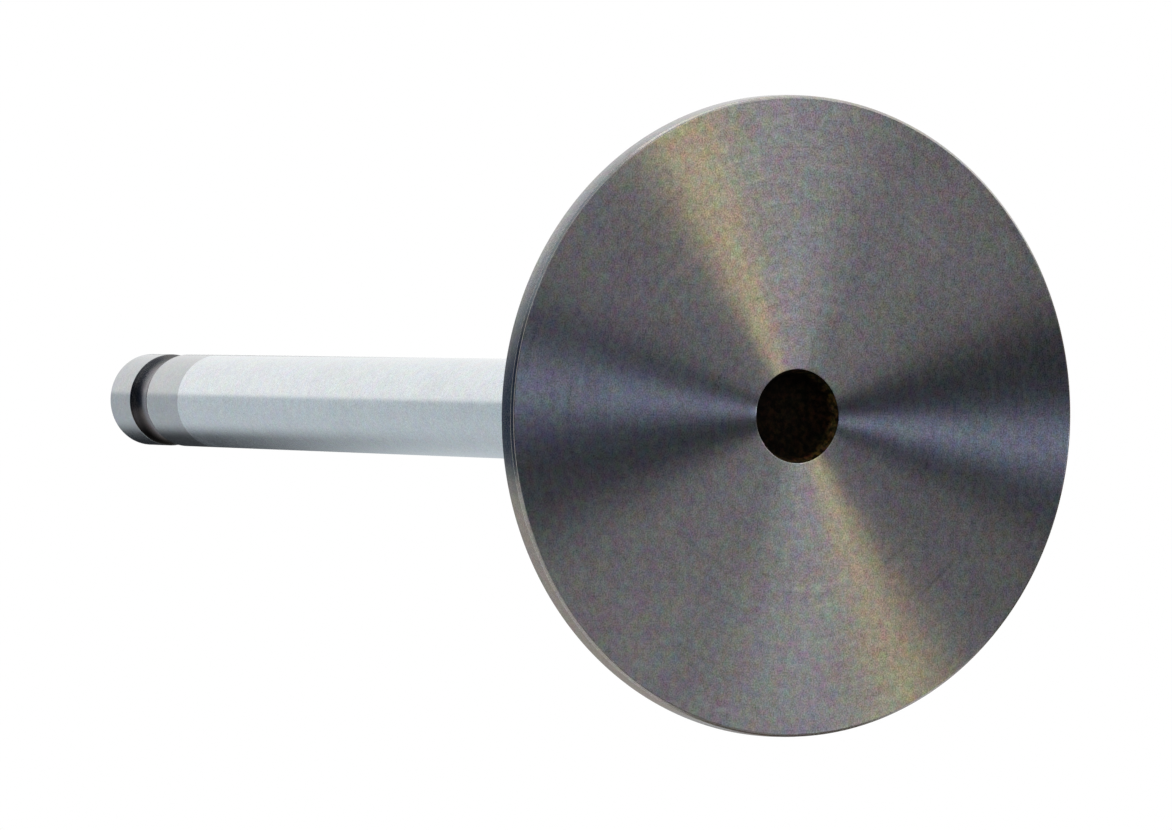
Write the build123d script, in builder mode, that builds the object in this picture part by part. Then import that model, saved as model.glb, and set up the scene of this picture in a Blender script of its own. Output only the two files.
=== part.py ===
from build123d import *
import os
from math import cos, radians, sin, tan

# Engine poppet valve, millimetres, forged and turned in one piece.
# +Z runs up the stem from the head to the tip. The combustion face lies on the
# plane Z = 0, and the origin is the centre of that face.

# overall
overall_length = 127.3
head_dia = 52.0
stem_dia = 8.7

# head: rim, seat and back cut (angles are measured from the plane of the face)
margin_height = 1.65
face_edge_break = 0.3
seat_angle = 45.0
seat_width = 2.6
back_cut_angle = 30.0
back_cut_width = 1.6

# underside of the head, running up into the stem
underhead_angle = 14.0
neck_radius = 15.0

# shallow unmachined recess in the centre of the combustion face
recess_dia = 7.6
recess_depth = 1.5
recess_draft = 20.0
recess_corner_radius = 0.4

# stem end: round-bottomed keeper groove, tip land and tip chamfer
tip_land_length = 5.4
groove_width = 3.8
groove_depth = 0.75
tip_chamfer = 0.8

# radii that the outline turns about
head_radius = head_dia / 2
stem_radius = stem_dia / 2

# inner edge of the 45 degree seat, and of the back cut that follows it
seat_edge_radius = head_radius - seat_width * cos(radians(seat_angle))
seat_edge_height = margin_height + seat_width * sin(radians(seat_angle))
back_cut_radius = seat_edge_radius - back_cut_width * cos(radians(back_cut_angle))
back_cut_height = seat_edge_height + back_cut_width * sin(radians(back_cut_angle))

# where the underside of the head would meet the stem without the neck radius
underhead_rise = (back_cut_radius - stem_radius) * tan(radians(underhead_angle))
neck_corner = (stem_radius, back_cut_height + underhead_rise)

# the groove is an arc whose chord is the groove width and whose rise is its depth
groove_radius = (groove_width**2 / 4 + groove_depth**2) / (2 * groove_depth)
groove_centre_radius = stem_radius - groove_depth + groove_radius
groove_centre_height = overall_length - tip_land_length - groove_width / 2

face_corner = (head_radius, 0)
tip_corner = (stem_radius, overall_length)

with BuildPart() as valve:
    with BuildSketch(Plane.XZ) as half_section:
        with BuildLine():
            Polyline(
                (0, 0),
                face_corner,
                (head_radius, margin_height),
                (seat_edge_radius, seat_edge_height),
                (back_cut_radius, back_cut_height),
                neck_corner,
                tip_corner,
                (0, overall_length),
                close=True,
            )
        make_face()
        fillet(half_section.vertices().sort_by_distance(neck_corner)[0], radius=neck_radius)
        chamfer(half_section.vertices().sort_by_distance(face_corner)[0], length=face_edge_break)
        chamfer(half_section.vertices().sort_by_distance(tip_corner)[0], length=tip_chamfer)
        with Locations((groove_centre_radius, groove_centre_height)):
            Circle(groove_radius, mode=Mode.SUBTRACT)
    revolve(axis=Axis.Z)

    with BuildSketch(Plane.XY):
        Circle(recess_dia / 2)
    extrude(amount=recess_depth, taper=recess_draft, mode=Mode.SUBTRACT)
    recess_floor = valve.faces().filter_by(Plane.XY).sort_by(Axis.Z)[1]
    fillet(recess_floor.edges(), radius=recess_corner_radius)

valve.part.label = "valve"

os.makedirs("parts", exist_ok=True)
export_step(valve.part, "parts/valve.step")
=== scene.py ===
from math import asin, cos, hypot, pi, radians, sin, tan

import bmesh
import bpy
from mathutils import Matrix, Vector, noise


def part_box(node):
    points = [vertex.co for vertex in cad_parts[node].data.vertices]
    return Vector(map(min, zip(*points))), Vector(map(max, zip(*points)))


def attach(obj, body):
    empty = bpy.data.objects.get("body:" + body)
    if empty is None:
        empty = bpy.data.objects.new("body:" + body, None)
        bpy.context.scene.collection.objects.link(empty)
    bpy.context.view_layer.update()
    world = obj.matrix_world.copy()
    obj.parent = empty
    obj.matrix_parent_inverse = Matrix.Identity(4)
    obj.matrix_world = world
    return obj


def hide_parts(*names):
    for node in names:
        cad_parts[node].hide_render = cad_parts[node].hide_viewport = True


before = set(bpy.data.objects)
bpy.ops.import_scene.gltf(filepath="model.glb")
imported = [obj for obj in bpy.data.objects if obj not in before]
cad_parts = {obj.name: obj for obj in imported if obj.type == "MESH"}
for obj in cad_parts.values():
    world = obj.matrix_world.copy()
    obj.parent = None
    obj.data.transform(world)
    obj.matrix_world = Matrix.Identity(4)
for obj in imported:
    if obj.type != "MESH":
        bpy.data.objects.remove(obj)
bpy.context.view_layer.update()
scene = bpy.context.scene
scene.view_settings.view_transform = "Standard"

mm = 0.001

# the camera stands below the head and looks up at the combustion face, with +X upward
cameraSetup = {
    "place": (0.0, -0.29237, -0.52042),
    "ahead": (-0.00058, 0.46464, 0.88550),
    "upward": (0.99966, -0.02277, 0.01274),
    "lens": 226.78,
    "sensor": 36.0,
    "clip": (0.01, 50.0),
}


def makeCamera(setup):
    data = bpy.data.cameras.new("benchCamera")
    data.lens = setup["lens"]
    data.sensor_width = setup["sensor"]
    data.sensor_fit = "HORIZONTAL"
    data.clip_start, data.clip_end = setup["clip"]
    ahead = Vector(setup["ahead"]).normalized()
    right = ahead.cross(Vector(setup["upward"])).normalized()
    upward = right.cross(ahead)
    turn = Matrix((right, upward, -ahead)).transposed()
    camera = bpy.data.objects.new("benchCamera", data)
    camera.matrix_world = Matrix.Translation(setup["place"]) @ turn.to_4x4()
    scene.collection.objects.link(camera)
    scene.camera = camera


makeCamera(cameraSetup)
print("camera set")


# small helpers for building node trees

def newTree(owner):
    owner.use_nodes = True
    tree = owner.node_tree
    tree.nodes.clear()
    return tree


def put(tree, kind, **settings):
    node = tree.nodes.new(kind)
    for name, value in settings.items():
        setattr(node, name, value)
    return node


def wire(tree, start, end):
    tree.links.new(start, end)


def feed(tree, socket, value):
    # a link when the value is another node's socket, otherwise a plain number or colour
    if isinstance(value, bpy.types.NodeSocket):
        tree.links.new(value, socket)
    else:
        socket.default_value = value


def maths(tree, job, first, second=0.0, third=None):
    node = put(tree, "ShaderNodeMath", operation=job)
    feed(tree, node.inputs[0], first)
    feed(tree, node.inputs[1], second)
    if third is not None:
        feed(tree, node.inputs[2], third)
    return node.outputs[0]


def vectorMaths(tree, job, *values):
    node = put(tree, "ShaderNodeVectorMath", operation=job)
    for place, value in enumerate(values):
        feed(tree, node.inputs[place], value)
    return node.outputs["Value" if job in ("DOT_PRODUCT", "LENGTH") else "Vector"]


def scaled(tree, vector, scale):
    node = put(tree, "ShaderNodeVectorMath", operation="SCALE")
    feed(tree, node.inputs[0], vector)
    feed(tree, node.inputs["Scale"], scale)
    return node.outputs["Vector"]


def joinXYZ(tree, x, y, z):
    node = put(tree, "ShaderNodeCombineXYZ")
    for label, value in zip("XYZ", (x, y, z)):
        wire(tree, value, node.inputs[label])
    return node.outputs[0]


def splitXYZ(tree, vector):
    node = put(tree, "ShaderNodeSeparateXYZ")
    wire(tree, vector, node.inputs[0])
    return node.outputs


def ramp(tree, value, low, high, toLow=0.0, toHigh=1.0, smooth=True):
    node = put(tree, "ShaderNodeMapRange", clamp=True)
    node.interpolation_type = "SMOOTHSTEP" if smooth else "LINEAR"
    feed(tree, node.inputs["Value"], value)
    feed(tree, node.inputs["From Min"], low)
    feed(tree, node.inputs["From Max"], high)
    feed(tree, node.inputs["To Min"], toLow)
    feed(tree, node.inputs["To Max"], toHigh)
    return node.outputs["Result"]


def blendColours(tree, mask, first, second):
    node = put(tree, "ShaderNodeMix", data_type="RGBA")
    feed(tree, node.inputs["Factor"], mask)
    feed(tree, node.inputs["A"], first)
    feed(tree, node.inputs["B"], second)
    return node.outputs["Result"]


def noiseAt(tree, place, scale, detail, rough, output="Fac"):
    node = put(tree, "ShaderNodeTexNoise", noise_dimensions="3D")
    feed(tree, node.inputs["Vector"], place)
    feed(tree, node.inputs["Scale"], scale)
    feed(tree, node.inputs["Detail"], detail)
    feed(tree, node.inputs["Roughness"], rough)
    return node.outputs[output]


def startGroup(name, inputs, outputs):
    # every input is a number with its usual value, and each output is given with its kind
    group = bpy.data.node_groups.new(name, "ShaderNodeTree")
    for label, value in inputs.items():
        socket = group.interface.new_socket(label, in_out="INPUT", socket_type="NodeSocketFloat")
        socket.default_value = value
    for label, kind in outputs.items():
        group.interface.new_socket(label, in_out="OUTPUT", socket_type="NodeSocket" + kind)
    return group, group.nodes.new("NodeGroupInput").outputs, group.nodes.new("NodeGroupOutput").inputs


def useGroup(tree, group, **values):
    node = put(tree, "ShaderNodeGroup", node_tree=group)
    for label, value in values.items():
        feed(tree, node.inputs[label], value)
    return node.outputs


# effects that several finishes share; noise is given as scale per mm, detail and roughness
turningSetup = {
    "marks": (3.0, 0.6),      # detail and roughness; the pitch comes with the finish
    "arcs": (0.45, 2.2),      # how fast the broken arcs change along the track and round the axis
    "arcNoise": (1.0, 2.0, 0.5),
    "darkArcs": (0.60, 0.74),
    "paleArcs": (0.28, 0.42, -0.8, 0.0),
}
grainSetup = {
    "fine": (1 / 0.13, 1.0, 0.6),
    "mottle": (2.0, 4.0, 0.65),
    "cloudy": (0.13, 3.0, 0.55),
    "tintPatches": (1.1, 3.0, 0.65),
    "tintBroad": (0.17, 5.0, 0.75),
    "broadShare": (0.42, 0.20, 0.36),
    "tintMiddle": (0.71, 0.60, 0.68),     # taken off, so that the tint stays about white
}
handlingSetup = {
    "noise": (0.21, 4.0, 0.6),
    "shown": (0.45, 0.75),
    "amount": 0.6,
    "darker": 0.05,
    "rougher": 0.03,
}


def makeSpindleCoords():
    # where a point sits on the turned part, in mm: distance from the axis, height, the way round
    # as a cosine and a sine, and the plain place
    group, _, out = startGroup("spindleCoords", {}, {
        "radius": "Float", "height": "Float", "cosine": "Float", "sine": "Float", "place": "Vector"})
    coords = put(group, "ShaderNodeTexCoord")
    place = scaled(group, coords.outputs["Object"], 1.0 / mm)
    x, y, z = splitXYZ(group, place)
    squares = maths(group, "ADD", maths(group, "MULTIPLY", x, x), maths(group, "MULTIPLY", y, y))
    radius = maths(group, "SQRT", squares)
    safe = maths(group, "MAXIMUM", radius, 0.01)      # nothing is divided by nought on the axis
    wire(group, radius, out["radius"])
    wire(group, z, out["height"])
    wire(group, maths(group, "DIVIDE", x, safe), out["cosine"])
    wire(group, maths(group, "DIVIDE", y, safe), out["sine"])
    wire(group, place, out["place"])
    return group


def makeTurningMarks(setup):
    # concentric tool marks along "track", a run in mm; they drift a little on their way round
    group, given, out = startGroup("turningMarks", {"track": 0.0, "pitch": 0.4, "wander": 0.5},
                                   {"height": "Float", "broken": "Float"})
    spindle = useGroup(group, spindleCoords)
    along = maths(group, "DIVIDE", given["track"], given["pitch"])
    drift = joinXYZ(group, along, maths(group, "MULTIPLY", spindle["cosine"], given["wander"]),
                    maths(group, "MULTIPLY", spindle["sine"], given["wander"]))
    wire(group, noiseAt(group, drift, 1.0, *setup["marks"]), out["height"])
    # deeper and paler marks that only show over part of the turn
    alongRate, roundRate = setup["arcs"]
    far = joinXYZ(group, maths(group, "MULTIPLY", along, alongRate),
                  maths(group, "MULTIPLY", spindle["cosine"], roundRate),
                  maths(group, "MULTIPLY", spindle["sine"], roundRate))
    patch = noiseAt(group, far, *setup["arcNoise"])
    dark = ramp(group, patch, *setup["darkArcs"])
    wire(group, maths(group, "ADD", dark, ramp(group, patch, *setup["paleArcs"])), out["broken"])
    return group


def makeMetalGrain(setup):
    # the mottling of machined metal at three sizes, and a tint about white that wanders a little
    # between cool and warm
    group, given, out = startGroup("metalGrain", {"tinting": 0.15}, {
        "fine": "Float", "mottle": "Float", "cloudy": "Float", "tint": "Color"})
    place = useGroup(group, spindleCoords)["place"]
    for size in ("fine", "mottle", "cloudy"):
        wire(group, noiseAt(group, place, *setup[size]), out[size])
    patches = noiseAt(group, place, *setup["tintPatches"], "Color")
    broad = noiseAt(group, place, *setup["tintBroad"], "Color")
    drift = vectorMaths(group, "MULTIPLY_ADD", broad, setup["broadShare"], patches)
    centred = vectorMaths(group, "SUBTRACT", drift, setup["tintMiddle"])
    tint = vectorMaths(group, "MULTIPLY_ADD", centred, given["tinting"], (1.0, 1.0, 1.0))
    wire(group, tint, out["tint"])
    return group


def makeHandling(setup):
    # faint smudges left by handling
    group, given, out = startGroup("handling", {"amount": 0.5}, {"smudge": "Float"})
    place = useGroup(group, spindleCoords)["place"]
    smudge = ramp(group, noiseAt(group, place, *setup["noise"]), *setup["shown"])
    wire(group, maths(group, "MULTIPLY", smudge, given["amount"]), out["smudge"])
    return group


def makePaintedSideShade():
    # painted shade towards -X, making that side darker: "left" is what shows through it below the cosine
    # "low", and it has cleared at the cosine "high"
    group, given, out = startGroup("sideSoot", {"low": -0.9, "high": -0.5, "left": 0.4},
                                   {"share": "Float"})
    cosine = useGroup(group, spindleCoords)["cosine"]
    wire(group, ramp(group, cosine, given["low"], given["high"], given["left"], 1.0), out["share"])
    return group


spindleCoords = makeSpindleCoords()
turningMarks = makeTurningMarks(turningSetup)
metalGrain = makeMetalGrain(grainSetup)
handling = makeHandling(handlingSetup)
sideSoot = makePaintedSideShade()


def grey(level, tint=(1.0, 1.0, 1.0)):
    return tuple(level * part for part in tint)


# the valve's finishes: tone is the metal's own colour, streak stretches its highlights across the
# marks, pitch is in mm, and the shifts are shares of the tone; the marks follow the radius on flat
# and conical faces and the height on the stem
plainSteel = dict(
    tone=grey(0.51, (0.97, 1.0, 1.02)), rough=0.19, streak=0.1,
    track="height", pitch=0.20, wander=1.0,
    markShift=0.08, arcShift=0.0, fineShift=0.5, mottleShift=0.25,
    cloudShift=0.08, tinting=0.28, bump=0.04)
valveFinishes = {
    "turnedFace": dict(
        tone=grey(0.295, (0.98, 0.99, 1.02)), rough=0.32, streak=1.0,
        track="radius", pitch=0.34, wander=1.3,
        markShift=0.06, arcShift=0.16, fineShift=1.6, mottleShift=0.9,
        cloudShift=0.32, tinting=0.92, bump=0.05,
        # a steady slope in tone across the face, darker towards one side and lighter towards the other:
        # towards which side, from +Y to +X, and how much darker the face is there, this many mm from the
        # axis
        toneSlope=dict(azimuth=43, share=0.19, reach=26)),
    "groundRim": dict(
        tone=grey(0.42, (1.0, 0.98, 0.96)), rough=0.20, streak=0.6,
        track="height", pitch=0.15, wander=0.8,
        markShift=0.12, arcShift=0.0, fineShift=0.7, mottleShift=0.4,
        cloudShift=0.12, tinting=0.4, bump=0.05),
    "groundSeat": dict(
        tone=grey(0.46), rough=0.22, streak=0.6,
        track="radius", pitch=0.12, wander=0.5,
        markShift=0.12, arcShift=0.0, fineShift=0.5, mottleShift=0.2,
        cloudShift=0.06, tinting=0.25, bump=0.05),
    "turnedBack": dict(
        tone=grey(0.34, (1.0, 0.985, 0.97)), rough=0.34, streak=0.7,
        track="radius", pitch=0.45, wander=0.9,
        markShift=0.24, arcShift=0.12, fineShift=1.0, mottleShift=0.4,
        cloudShift=0.2, tinting=0.45, bump=0.14),
    "platedStem": dict(
        tone=grey(0.745, (0.945, 1.0, 1.03)), rough=0.17, streak=0.0,
        track="height", pitch=0.28, wander=1.2,
        markShift=0.03, arcShift=0.0, fineShift=0.7, mottleShift=0.22,
        cloudShift=0.03, tinting=0.28, bump=0.02),
    # the bare stem, the keeper groove and the tip land are painted darker on their -X side: painted shade
    "bareStem": dict(plainSteel, side=dict(low=-0.97, high=-0.55, left=0.25)),
    "keeperGroove": dict(
        tone=grey(0.34, (1.0, 0.96, 1.03)), rough=0.26, streak=0.2,
        track="height", pitch=0.15, wander=0.8,
        markShift=0.1, arcShift=0.0, fineShift=0.5, mottleShift=0.3,
        cloudShift=0.08, tinting=0.3, bump=0.05,
        side=dict(low=-0.80, high=-0.40, left=0.05),
        # painted shade in the upper corner, between these heights in mm; what shows through it goes
        # from one share to the other on the way round
        corner=dict(heights=(119.7, 121.6), cosines=(0.2, 0.95), left=(0.13, 0.32))),
    "tipLand": dict(plainSteel, side=dict(low=-0.97, high=-0.78, left=0.05)),
    "groundTip": dict(
        tone=grey(0.50, (0.98, 1.0, 1.01)), rough=0.22, streak=0.5,
        track="radius", pitch=0.16, wander=1.6,
        markShift=0.20, arcShift=0.15, fineShift=0.6, mottleShift=0.35,
        cloudShift=0.1, tinting=0.3, bump=0.06),
}
finishBasics = {
    "roughShift": 0.05,       # how far the mottling moves the roughness
    "markDepth": 0.02 * mm,
    "quarterTurn": 0.25,      # turns the streaks so that they run across the marks
}


def shiftBy(tree, shift, value, amount):
    # adds a share of a 0 to 1 value, centred on 0.5, to a multiplier
    return maths(tree, "MULTIPLY_ADD", maths(tree, "SUBTRACT", value, 0.5), amount, shift)


def startShader(name):
    material = bpy.data.materials.new(name)
    tree = newTree(material)
    shader = put(tree, "ShaderNodeBsdfPrincipled")
    output = put(tree, "ShaderNodeOutputMaterial")
    wire(tree, shader.outputs["BSDF"], output.inputs["Surface"])
    return material, tree, shader


def addBump(tree, shader, height, strength, distance):
    bump = put(tree, "ShaderNodeBump")
    bump.inputs["Strength"].default_value = strength
    bump.inputs["Distance"].default_value = distance
    wire(tree, height, bump.inputs["Height"])
    wire(tree, bump.outputs["Normal"], shader.inputs["Normal"])


def toneSlopeDrop(tree, place, toneSlope):
    # how much of the tone is taken away: nought on the axis, more towards one side, less than nought
    # towards the other
    slope = toneSlope["share"] / toneSlope["reach"]
    side = radians(toneSlope["azimuth"])
    return vectorMaths(tree, "DOT_PRODUCT", place, (slope * sin(side), slope * cos(side), 0.0))


def paintedShadeShare(tree, spindle, look):
    # what shows through the painted shade
    share = useGroup(tree, sideSoot, **look["side"])["share"]
    # painted shade, darkest in the groove's upper corner
    if "corner" in look:
        corner = look["corner"]
        left = ramp(tree, spindle["cosine"], *corner["cosines"], *corner["left"])
        left = maths(tree, "MULTIPLY", left, share)
        share = ramp(tree, spindle["height"], *corner["heights"], 1.0, left)
    return share


def makeFinish(name, look, basics, touchSetup):
    material, tree, shader = startShader(name)
    spindle = useGroup(tree, spindleCoords)
    marks = useGroup(tree, turningMarks, track=spindle[look["track"]], pitch=look["pitch"],
                     wander=look["wander"])
    grain = useGroup(tree, metalGrain, tinting=look["tinting"])
    touch = useGroup(tree, handling, amount=touchSetup["amount"])
    shift = shiftBy(tree, 1.0, marks["height"], look["markShift"])
    shift = shiftBy(tree, shift, grain["fine"], look["fineShift"])
    shift = shiftBy(tree, shift, grain["mottle"], look["mottleShift"])
    shift = shiftBy(tree, shift, grain["cloudy"], look["cloudShift"])
    shift = maths(tree, "MULTIPLY_ADD", touch["smudge"], -touchSetup["darker"], shift)
    shift = maths(tree, "MULTIPLY_ADD", marks["broken"], -look["arcShift"], shift)
    if "toneSlope" in look:
        shift = maths(tree, "SUBTRACT", shift, toneSlopeDrop(tree, spindle["place"], look["toneSlope"]))
    # painted shade on the -X side of the stem's end and in the groove's upper corner
    if "side" in look:
        shift = maths(tree, "MULTIPLY", shift, paintedShadeShare(tree, spindle, look))
    toned = scaled(tree, look["tone"], shift)
    wire(tree, vectorMaths(tree, "MULTIPLY", toned, grain["tint"]), shader.inputs["Base Color"])
    rough = shiftBy(tree, look["rough"], grain["mottle"], basics["roughShift"])
    rough = maths(tree, "MULTIPLY_ADD", touch["smudge"], touchSetup["rougher"], rough)
    wire(tree, rough, shader.inputs["Roughness"])
    addBump(tree, shader, marks["height"], look["bump"], basics["markDepth"])
    shader.inputs["Metallic"].default_value = 1.0
    shader.inputs["Anisotropic"].default_value = look["streak"]
    shader.inputs["Anisotropic Rotation"].default_value = basics["quarterTurn"]
    tangent = put(tree, "ShaderNodeTangent", direction_type="RADIAL", axis="Z")
    wire(tree, tangent.outputs["Tangent"], shader.inputs["Tangent"])
    return material


# the dark unmachined skin in the recess; painted shade keeps the deep floor darker than the browner wall
forgeSkin = {
    "floor": ((0.0006, 0.0005, 0.0003, 1), (0.0045, 0.0024, 0.001, 1)),     # dark and light blotches
    "wall": ((0.003, 0.002, 0.0008, 1), (0.026, 0.017, 0.006, 1)),
    "wallHeights": (0.45, 1.15),
    "tinting": 2.2,
    "blotch": (2.2, 4.0, 0.7),
    "spots": (0.38, 0.68),
    "rough": (0.3, 0.7, 0.95, 0.8),
    "grit": (4.5, 3.0, 0.6),
    "gritStrength": 0.5,
    "gritDepth": 0.08 * mm,
    "gloss": 0.04,
}


def makeScale(look):
    material, tree, shader = startShader("forgeScale")
    spindle = useGroup(tree, spindleCoords)
    blotch = noiseAt(tree, spindle["place"], *look["blotch"])
    spots = ramp(tree, blotch, *look["spots"])
    floor = blendColours(tree, spots, *look["floor"])
    wall = blendColours(tree, spots, *look["wall"])
    # painted shade: darker from the wall down to the recess floor
    outward = ramp(tree, spindle["height"], *look["wallHeights"], 1.0, 0.0)
    grain = useGroup(tree, metalGrain, tinting=look["tinting"])
    skin = blendColours(tree, outward, floor, wall)
    wire(tree, vectorMaths(tree, "MULTIPLY", skin, grain["tint"]), shader.inputs["Base Color"])
    wire(tree, ramp(tree, blotch, *look["rough"]), shader.inputs["Roughness"])
    grit = noiseAt(tree, spindle["place"], *look["grit"])
    addBump(tree, shader, grit, look["gritStrength"], look["gritDepth"])
    shader.inputs["Specular IOR Level"].default_value = look["gloss"]
    return material


finishes = {}
for finishName, finishLook in valveFinishes.items():
    finishes[finishName] = makeFinish(finishName, finishLook, finishBasics, handlingSetup)
finishes["forgeScale"] = makeScale(forgeSkin)
print("finishes made")

# the valve, in mm and degrees; the overall length and head size come from the frame
valveShape = {
    "stemDia": 8.7, "neckRadius": 15.0,
    "edgeBreak": 0.3, "margin": 1.65,
    "rimCrown": 0.07,         # how far the margin falls away towards the face
    "crownSteps": ((0.35, 0.36), (0.06, 0.70)),      # shares of the crown left and of the height
    "seatAngle": 45.0, "seatWidth": 2.6,
    "backCutAngle": 30.0, "backCutWidth": 1.6, "underheadAngle": 14.0,
    "recessDia": 7.6, "recessDepth": 1.5, "recessDraft": 20.0, "recessCorner": 0.4,
    "tipLand": 5.4, "grooveWidth": 3.8, "grooveDepth": 0.75, "grooveLip": 0.05, "tipChamfer": 0.8,
    "platingStart": 26.0, "platingEnd": 111.1,      # heights between which the stem is brightly plated
    "mouthSoft": 0.10, "edgeSoft": 0.03, "rimSoft": 0.06, "cutSoft": 0.10, "tipSoft": 0.08,
    "recessUneven": 0.06,     # how far the unmachined floor rises and falls
    "recessLumps": ((0.9, 3.1, 1.0), (2.3, 7.7, 0.5)),      # scale, place and share of each size of lump
}
valveFineness = {
    "rounds": 384,            # divisions round the axis
    "arcStep": 6.0,           # degrees of arc between stations
    "arcRun": 0.8,            # the longest chord on a large arc
    "arcLeast": 4,            # the fewest steps on any arc
    "grooveSteps": 22,
    "longest": 2.5,           # the longest straight strip
    "hold": (0.25, 0.4),      # distance of a holding station: a share of the rounding, and the most
}


def outlineCorners(shape, headRadius, length):
    # the half outline from the recess floor round to the tip: radius, height, rounding, and the
    # finish of the run that follows
    stem = shape["stemDia"] / 2
    seat = radians(shape["seatAngle"])
    cut = radians(shape["backCutAngle"])
    margin, chamfer = shape["margin"], shape["tipChamfer"]
    edge, crown = shape["edgeBreak"], shape["rimCrown"]
    seatEdge = (headRadius - shape["seatWidth"] * cos(seat), margin + shape["seatWidth"] * sin(seat))
    cutEdge = (seatEdge[0] - shape["backCutWidth"] * cos(cut),
               seatEdge[1] + shape["backCutWidth"] * sin(cut))
    neckHeight = cutEdge[1] + (cutEdge[0] - stem) * tan(radians(shape["underheadAngle"]))
    floorRadius = shape["recessDia"] / 2 - shape["recessDepth"] * tan(radians(shape["recessDraft"]))
    crownCorners = [(headRadius - left * crown, edge + rise * (margin - edge), 0.0, "groundRim")
                    for left, rise in shape["crownSteps"]]
    return [
        (0.0, shape["recessDepth"], 0.0, "forgeScale"),
        (floorRadius, shape["recessDepth"], shape["recessCorner"], "forgeScale"),
        (shape["recessDia"] / 2, 0.0, shape["mouthSoft"], "turnedFace"),
        (headRadius - edge, 0.0, shape["edgeSoft"], "groundRim"),
        (headRadius - crown, edge - crown, shape["rimSoft"], "groundRim"),
        *crownCorners,
        (headRadius, margin, shape["rimSoft"], "groundSeat"),
        (*seatEdge, shape["rimSoft"], "turnedBack"),
        (*cutEdge, shape["cutSoft"], "turnedBack"),
        (stem, neckHeight, shape["neckRadius"], "turnedBack"),
        (stem, shape["platingStart"], 0.0, "platedStem"),
        (stem, shape["platingEnd"], 0.0, "bareStem"),
        (stem, length - shape["tipLand"] - shape["grooveWidth"], 0.0, "keeperGroove"),
        (stem, length - chamfer, shape["tipSoft"], "groundTip"),
        (stem - chamfer, length, shape["tipSoft"], "groundTip"),
        (0.0, length, 0.0, None),
    ]


def grooveStations(shape, count, low):
    # round-bottomed keeper groove in the stem, with slightly softened lips
    stem = shape["stemDia"] / 2
    width, depth, lip = shape["grooveWidth"], shape["grooveDepth"], shape["grooveLip"]
    radius = (width * width / 4 + depth * depth) / (2 * depth)
    centreRadius, centreHeight = stem - depth + radius, low + width / 2
    reach = asin(width / 2 / radius)
    stations = [(stem, low - 3 * lip, "bareStem"), (stem, low - lip, "bareStem")]
    for tick in range(1, count):
        turn = reach * (2 * tick / count - 1)
        spot = (centreRadius - radius * cos(turn), centreHeight + radius * sin(turn))
        stations.append((*spot, "keeperGroove"))
    stations.append((stem, low + width + lip, "tipLand"))
    stations.append((stem, low + width + 3 * lip, "tipLand"))
    return stations


def arcStations(before, corner, after, fineness):
    # one rounded corner, with a holding station beside each end so that straight runs shade flat
    here = Vector(corner[:2])
    back = (Vector(before[:2]) - here).normalized()
    ahead = (Vector(after[:2]) - here).normalized()
    rounding = corner[2]
    half = back.angle(ahead) / 2
    reach = rounding / tan(half)
    holdShare, holdMost = fineness["hold"]
    hold = min(holdShare * rounding, holdMost)
    centre = here + (back + ahead).normalized() * (rounding / sin(half))
    first = here + back * reach - centre
    sweep = pi - 2 * half
    if first.x * ahead.y - first.y * ahead.x < 0:
        sweep = -sweep
    byAngle = round(abs(sweep) / radians(fineness["arcStep"]))
    byLength = round(abs(sweep) * rounding / fineness["arcRun"])
    count = max(fineness["arcLeast"], byAngle, byLength)
    stations = [(*(here + back * (reach + hold)), before[3])]
    for tick in range(count + 1):
        turn = sweep * tick / count
        arm = Vector((first.x * cos(turn) - first.y * sin(turn),
                      first.x * sin(turn) + first.y * cos(turn)))
        stations.append((*(centre + arm), before[3] if tick < count / 2 else corner[3]))
    stations.append((*(here + ahead * (reach + hold)), corner[3]))
    return stations


def outlineStations(corners, shape, fineness):
    rough = []
    for index, corner in enumerate(corners):
        if corner[3] == "keeperGroove":
            rough += grooveStations(shape, fineness["grooveSteps"], corner[1])
        elif corner[2] == 0.0:
            rough.append((corner[0], corner[1], corner[3]))
        else:
            before = corners[index - 1]
            if before[3] == "keeperGroove":
                before = (*before[:3], "tipLand")
            rough += arcStations(before, corner, corners[index + 1], fineness)
    # long straight runs are cut into shorter strips
    stations = []
    for start, end in zip(rough, rough[1:]):
        stations.append(start)
        run = hypot(end[0] - start[0], end[1] - start[1])
        parts = int(run // fineness["longest"]) + 1
        for part in range(1, parts):
            share = part / parts
            stations.append((start[0] + (end[0] - start[0]) * share,
                             start[1] + (end[1] - start[1]) * share, start[2]))
    stations.append(rough[-1])
    return stations


def unevenFloor(shape, x, y, z):
    # the forged skin of the recess is never flat: the floor rises and falls a few hundredths
    fade = min(1.0, max(0.0, z / shape["recessDepth"]))
    lump = sum(share * noise.noise(Vector((x * scale, y * scale, place)))
               for scale, place, share in shape["recessLumps"])
    return shape["recessUneven"] * lump * fade


def addRing(mesh, station, shape, rounds):
    r, z, finish = station
    if r == 0.0:
        return [mesh.verts.new((0.0, 0.0, z * mm))]      # a single point on the axis
    ring = []
    for tick in range(rounds):
        angle = 2 * pi * tick / rounds
        x, y = r * cos(angle), r * sin(angle)
        lift = unevenFloor(shape, x, y, z) if finish == "forgeScale" else 0.0
        ring.append(mesh.verts.new((x * mm, y * mm, (z + lift) * mm)))
    return ring


def addObject(name, mesh):
    data = bpy.data.meshes.new(name)
    mesh.to_mesh(data)
    mesh.free()
    made = bpy.data.objects.new(name, data)
    scene.collection.objects.link(made)
    return made


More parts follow.
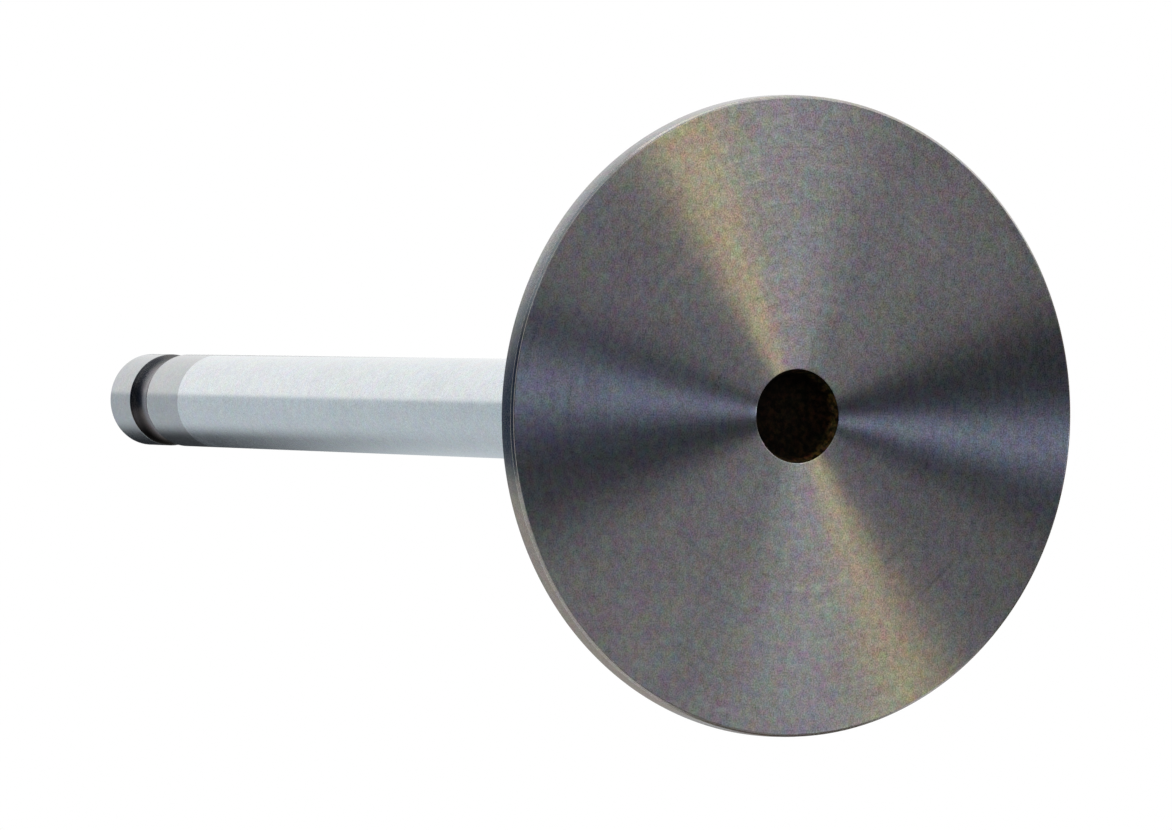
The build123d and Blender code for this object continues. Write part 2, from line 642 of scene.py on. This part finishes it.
def makeValve(shape, fineness):
    low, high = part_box("valve")
    headRadius = (high[0] - low[0]) / 2 / mm
    length = (high[2] - low[2]) / mm
    stations = outlineStations(outlineCorners(shape, headRadius, length), shape, fineness)
    slots = list(finishes)
    rounds = fineness["rounds"]
    mesh = bmesh.new()
    rings = [addRing(mesh, station, shape, rounds) for station in stations]
    for (lower, upper), station in zip(zip(rings, rings[1:]), stations):
        for tick in range(rounds):
            after = (tick + 1) % rounds
            if len(lower) == 1:
                corners = (lower[0], upper[after], upper[tick])
            elif len(upper) == 1:
                corners = (lower[tick], lower[after], upper[0])
            else:
                corners = (lower[tick], lower[after], upper[after], upper[tick])
            face = mesh.faces.new(corners)
            face.smooth = True
            face.material_index = slots.index(station[2])
    bmesh.ops.recalc_face_normals(mesh, faces=mesh.faces)
    body = addObject("valveBody", mesh)
    for name in slots:
        body.data.materials.append(finishes[name])
    print("valve made,", len(body.data.vertices), "points,", len(stations), "stations")
    return body


valveBody = makeValve(valveShape, valveFineness)
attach(valveBody, "root")
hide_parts("valve")

# floor, surround and light, in metres
studio = {
    "floorRings": (25.8 * mm, 0.05, 0.1, 0.2, 0.4, 0.8, 3.0),     # the first leaves a hole under the head
    "floorRounds": 192,
    "floorTone": 0.82,
    "floorFade": (0.5, 1.4),
    "speckle": (900.0, 2.0, 0.5),
    "speckleSpan": (0.3, 0.7),
    "speckleShift": 0.015,
    "wedgeTurn": 130,         # degrees from -Y towards +X
    "wedgeSpan": (0.70, 0.97),
    "wedgeShade": 0.6,
    "roomLight": 0.45,        # what the white room gives to matt surfaces
    "tentRadius": 1.5,
    "tentParts": (64, 32),
    "tentDark": (0.0, 0.008, 0.03),
    "tentLight": (0.68, 0.65, 0.62),
    "tentRise": (-0.64, -0.46),     # share of the radius, from the foot up, where the tent lightens
    "tentDrop": -0.0005,      # keeps the tent's rim under the floor
}

# strips under the head that the turning marks of the face pick up: azimuth is measured on the face
# from +Y towards +X, tilts and spread are in degrees, and soft gives the fading shares along and
# across
faceLights = {
    "broadStrip": dict(
        azimuth=91, tilts=(10, 28), spread=73, colour=(1.0, 0.93, 0.94),
        level=1.45, soft=(0.15, 0.07)),
    "sideStrip": dict(
        azimuth=44, tilts=(10, 28), spread=24, colour=(1.0, 0.95, 0.92),
        level=1.1, soft=(0.15, 0.25)),
    "midStrip": dict(
        azimuth=93, tilts=(10, 28), spread=44, colour=(1.0, 0.98, 0.96),
        level=3.5, soft=(0.15, 0.6)),
    "warmStrip": dict(
        azimuth=116, tilts=(12, 30), spread=8, colour=(1.0, 0.75, 0.21),
        level=4.75, soft=(0.15, 0.1)),
    "coolStrip": dict(
        azimuth=355.6, tilts=(14, 34), spread=5.0, colour=(0.70, 0.76, 1.0),
        level=12.2, soft=(0.15, 0.1)),
}
stripPlace = {"far": 1.0, "step": 0.02}       # each strip stands a little behind the one before

# grey, dark and white cards round the valve, seen only as reflections: azimuths run from -Y towards
# +X, polars are angles from straight up, and fades are the soft shares of the card's width at its
# two azimuths and its two polars
cards = {
    "shadeCard": dict(
        azimuths=(-176, 20), polars=(8, 58), far=1.2, colour=(0.575, 0.62, 0.655),
        fades=(0.03, 0.06, 0.1, 0.1)),
    "darkCard": dict(
        azimuths=(-205, -54), polars=(8, 23.8), far=0.45, colour=(0.012, 0.015, 0.02),
        fades=(0.1, 0.34, 0.05, 0.29)),
    "rimShade": dict(
        azimuths=(-130, -14), polars=(27, 58), far=0.24, colour=(0.49, 0.455, 0.42),
        fades=(0.1, 0.1, 0.05, 0.1)),
    "rimDark": dict(
        azimuths=(-205, -126), polars=(27, 58), far=0.235, colour=(0.20, 0.155, 0.125),
        fades=(0.05, 0.26, 0.05, 0.1)),
    "rimBlue": dict(
        azimuths=(-31, 62), polars=(27, 58), far=0.23, colour=(0.0, 0.02, 0.06),
        fades=(0.2, 0.66, 0.05, 0.1)),
    "rimLow": dict(
        azimuths=(2, 103), polars=(34, 62), far=0.245, colour=(0.27, 0.33, 0.41),
        fades=(0.1, 0.15, 0.4, 0.1)),
    "eyeCard": dict(
        azimuths=(-21, 36), polars=(84, 132), far=1.3, colour=(0.03, 0.045, 0.08),
        fades=(0.08, 0.3, 0.1, 0.1)),
    "edgeCard": dict(
        azimuths=(18, 82), polars=(98, 134), far=1.31, colour=(0.40, 0.475, 0.53),
        fades=(0.2, 0.12, 0.15, 0.1)),
    "backCard": dict(
        azimuths=(-198, -138), polars=(50, 104), far=1.35, colour=(0.09, 0.075, 0.065),
        fades=(0.05, 0.4, 0.1, 0.1)),
    "cornerCard": dict(
        azimuths=(-150, -84), polars=(66, 106), far=1.33, colour=(0.12, 0.10, 0.085),
        fades=(0.3, 0.25, 0.2, 0.25)),
    "whiteCard": dict(
        azimuths=(46, 172), polars=(60, 98), far=1.33, colour=(1.08, 1.07, 1.04),
        fades=(0.15, 0.1, 0.2, 0.1)),
    "lowWhite": dict(
        azimuths=(46, 176), polars=(93, 113), far=1.32, colour=(1.75, 1.72, 1.64),
        fades=(0.15, 0.08, 0.2, 0.2)),
}
cardSteps = (24, 16)

lamps = {
    "keyLamp": dict(
        place=(0.5, -0.7, 0.8), aim=(0, 0, 0.05), size=0.5, watts=6.8, colour=(1.0, 0.98, 0.95)),
    "fillLamp": dict(
        place=(-0.8, -0.3, 0.6), aim=(0, 0, 0.05), size=0.7, watts=3.8, colour=(0.95, 0.98, 1.0)),
    "backLamp": dict(
        place=(0.2, 0.8, 0.7), aim=(0, 0, 0.05), size=0.6, watts=3.8, colour=(1.0, 1.0, 1.0)),
    "lowLamp": dict(
        place=(0.45, -0.4, -0.5), aim=(0, 0, 0), size=0.25, watts=6.0, colour=(1.0, 0.93, 0.85)),
}


def makeRoom(setup):
    # white to the eye and in reflections, and dimmer as a light
    world = bpy.data.worlds.new("whiteRoom")
    scene.world = world
    world.cycles.sampling_method = "NONE"
    tree = newTree(world)
    path = put(tree, "ShaderNodeLightPath")
    seen = maths(tree, "MAXIMUM", path.outputs["Is Camera Ray"], path.outputs["Is Glossy Ray"])
    seen = maths(tree, "MAXIMUM", seen, path.outputs["Is Transmission Ray"])
    background = put(tree, "ShaderNodeBackground")
    background.inputs["Color"].default_value = (1, 1, 1, 1)
    strength = ramp(tree, seen, 0.0, 1.0, setup["roomLight"], 1.0, smooth=False)
    wire(tree, strength, background.inputs["Strength"])
    output = put(tree, "ShaderNodeOutputWorld")
    wire(tree, background.outputs[0], output.inputs["Surface"])


def makePaper(setup):
    # pale paper, clear from below, behind another clear surface and far out
    material = bpy.data.materials.new("palePaper")
    tree = newTree(material)
    output = put(tree, "ShaderNodeOutputMaterial")
    paper = put(tree, "ShaderNodeBsdfDiffuse")
    clear = put(tree, "ShaderNodeBsdfTransparent")
    mixed = put(tree, "ShaderNodeMixShader")
    place = put(tree, "ShaderNodeTexCoord").outputs["Object"]
    tone, shift = setup["floorTone"], setup["speckleShift"]
    speckle = noiseAt(tree, place, *setup["speckle"])
    shade = ramp(tree, speckle, *setup["speckleSpan"], tone - shift, tone + shift)
    # two grey wedges that only polished metal picks up, so that it reads as round
    turn = radians(setup["wedgeTurn"])
    outward = vectorMaths(tree, "NORMALIZE", place)
    across = vectorMaths(tree, "DOT_PRODUCT", outward, (sin(turn), -cos(turn), 0.0))
    wedge = ramp(tree, maths(tree, "ABSOLUTE", across), *setup["wedgeSpan"], 0.0, setup["wedgeShade"])
    path = put(tree, "ShaderNodeLightPath")
    wedge = maths(tree, "MULTIPLY", wedge, path.outputs["Is Glossy Ray"])
    shade = maths(tree, "MULTIPLY", shade, maths(tree, "SUBTRACT", 1.0, wedge))
    colour = put(tree, "ShaderNodeCombineColor")
    for channel in ("Red", "Green", "Blue"):
        wire(tree, shade, colour.inputs[channel])
    wire(tree, colour.outputs[0], paper.inputs["Color"])
    side = put(tree, "ShaderNodeNewGeometry")
    passed = maths(tree, "GREATER_THAN", path.outputs["Transparent Depth"], 0.5)
    fade = ramp(tree, vectorMaths(tree, "LENGTH", place), *setup["floorFade"])
    through = maths(tree, "MAXIMUM", side.outputs["Backfacing"], maths(tree, "MAXIMUM", passed, fade))
    wire(tree, through, mixed.inputs["Fac"])
    wire(tree, paper.outputs[0], mixed.inputs[1])
    wire(tree, clear.outputs[0], mixed.inputs[2])
    wire(tree, mixed.outputs[0], output.inputs["Surface"])
    return material


def makeFloor(setup):
    mesh = bmesh.new()
    rounds = setup["floorRounds"]
    rings = [[mesh.verts.new((r * cos(2 * pi * t / rounds), r * sin(2 * pi * t / rounds), 0.0))
              for t in range(rounds)] for r in setup["floorRings"]]
    for inner, outer in zip(rings, rings[1:]):
        for t in range(rounds):
            mesh.faces.new((inner[t], outer[t], outer[(t + 1) % rounds], inner[(t + 1) % rounds]))
    floor = addObject("paleFloor", mesh)
    floor.data.materials.append(makePaper(setup))


def showOnlyInGloss(card):
    card.visible_camera = False
    card.visible_diffuse = False
    card.visible_shadow = False
    card.visible_volume_scatter = False


def cardLight(name, colour, level, fades, adds):
    # even in the middle and fading at its four sides; one that adds lets what is behind it show
    # through, and the others cover it
    material = bpy.data.materials.new(name)
    tree = newTree(material)
    output = put(tree, "ShaderNodeOutputMaterial")
    glow = put(tree, "ShaderNodeEmission")
    clear = put(tree, "ShaderNodeBsdfTransparent")
    shares = splitXYZ(tree, put(tree, "ShaderNodeTexCoord").outputs["UV"])
    shown = 1.0
    for share, (start, end) in zip(shares, (fades[:2], fades[2:])):
        shown = maths(tree, "MULTIPLY", shown, ramp(tree, share, 0.0, start))
        shown = maths(tree, "MULTIPLY", shown, ramp(tree, share, 1.0 - end, 1.0, 1.0, 0.0))
    glow.inputs["Color"].default_value = (*colour, 1)
    if adds:
        joined = put(tree, "ShaderNodeAddShader")
        wire(tree, maths(tree, "MULTIPLY", shown, level), glow.inputs["Strength"])
    else:
        joined = put(tree, "ShaderNodeMixShader")
        glow.inputs["Strength"].default_value = level
        wire(tree, shown, joined.inputs["Fac"])
    first = len(joined.inputs) - 2        # the two shader sockets come last
    wire(tree, clear.outputs[0], joined.inputs[first])
    wire(tree, glow.outputs[0], joined.inputs[first + 1])
    wire(tree, joined.outputs[0], output.inputs["Surface"])
    return material


def makeCard(name, pointAt, colour, level, fades, adds):
    # a curved card: pointAt gives its place for two shares between 0 and 1
    wide, tall = cardSteps
    mesh = bmesh.new()
    grid = [[mesh.verts.new(pointAt(i / wide, j / tall)) for j in range(tall + 1)]
            for i in range(wide + 1)]
    layer = mesh.loops.layers.uv.new("shares")
    for i in range(wide):
        for j in range(tall):
            spots = ((i, j), (i, j + 1), (i + 1, j + 1), (i + 1, j))
            face = mesh.faces.new([grid[a][b] for a, b in spots])
            for loop, (a, b) in zip(face.loops, spots):
                loop[layer].uv = (a / wide, b / tall)
    card = addObject(name, mesh)
    card.data.materials.append(cardLight(name + "Light", colour, level, fades, adds))
    showOnlyInGloss(card)


def bounce(azimuth, tilt):
    # where the face's turning marks look, at this azimuth and with this much tilt
    toEye = Vector(cameraSetup["place"]).normalized()
    a, t = radians(azimuth), radians(tilt)
    facet = Vector((sin(t) * sin(a), sin(t) * cos(a), -cos(t)))
    return 2 * facet.dot(toEye) * facet - toEye


def makeFaceLight(name, light, far):
    low, high = light["tilts"]
    alongSoft, acrossSoft = light["soft"]
    fades = (acrossSoft, acrossSoft, alongSoft, alongSoft)

    def pointAt(i, j):
        return bounce(light["azimuth"] + light["spread"] * (2 * i - 1), low + (high - low) * j) * far
    makeCard(name, pointAt, light["colour"], light["level"], fades, True)


def makeShapedCard(name, card):
    (a0, a1), (p0, p1) = card["azimuths"], card["polars"]

    def pointAt(i, j):
        a, p = radians(a0 + (a1 - a0) * i), radians(p0 + (p1 - p0) * j)
        return Vector((sin(a) * sin(p), -cos(a) * sin(p), cos(p))) * card["far"]
    makeCard(name, pointAt, card["colour"], 1.0, card["fades"], False)


def makeTent(setup):
    # a dark tent under the floor, lighter near the horizon
    mesh = bmesh.new()
    across, upward = setup["tentParts"]
    bmesh.ops.create_uvsphere(mesh, u_segments=across, v_segments=upward, radius=setup["tentRadius"])
    above = [point for point in mesh.verts if point.co.z > setup["tentDrop"]]
    bmesh.ops.delete(mesh, geom=above, context="VERTS")
    tent = addObject("darkTent", mesh)
    material = bpy.data.materials.new("tentCloth")
    tree = newTree(material)
    output = put(tree, "ShaderNodeOutputMaterial")
    glow = put(tree, "ShaderNodeEmission")
    height = splitXYZ(tree, put(tree, "ShaderNodeTexCoord").outputs["Object"])["Z"]
    foot, rim = (share * setup["tentRadius"] for share in setup["tentRise"])
    rise = ramp(tree, height, foot, rim)
    cloth = blendColours(tree, rise, (*setup["tentDark"], 1), (*setup["tentLight"], 1))
    wire(tree, cloth, glow.inputs["Color"])
    wire(tree, glow.outputs[0], output.inputs["Surface"])
    tent.data.materials.append(material)
    showOnlyInGloss(tent)


def makeLamp(name, setup):
    data = bpy.data.lights.new(name, "AREA")
    data.shape = "SQUARE"
    data.size = setup["size"]
    data.energy = setup["watts"]
    data.color = setup["colour"]
    place = Vector(setup["place"])
    lamp = bpy.data.objects.new(name, data)
    lamp.location = place
    lamp.rotation_mode = "QUATERNION"
    lamp.rotation_quaternion = (Vector(setup["aim"]) - place).to_track_quat("-Z", "Y")
    lamp.visible_glossy = False
    scene.collection.objects.link(lamp)


makeRoom(studio)
makeFloor(studio)
makeTent(studio)
for count, (stripName, strip) in enumerate(faceLights.items()):
    makeFaceLight(stripName, strip, stripPlace["far"] + stripPlace["step"] * count)
for cardName, cardSetup in cards.items():
    makeShapedCard(cardName, cardSetup)
for lampName, lampSetup in lamps.items():
    makeLamp(lampName, lampSetup)
print("stage lit")
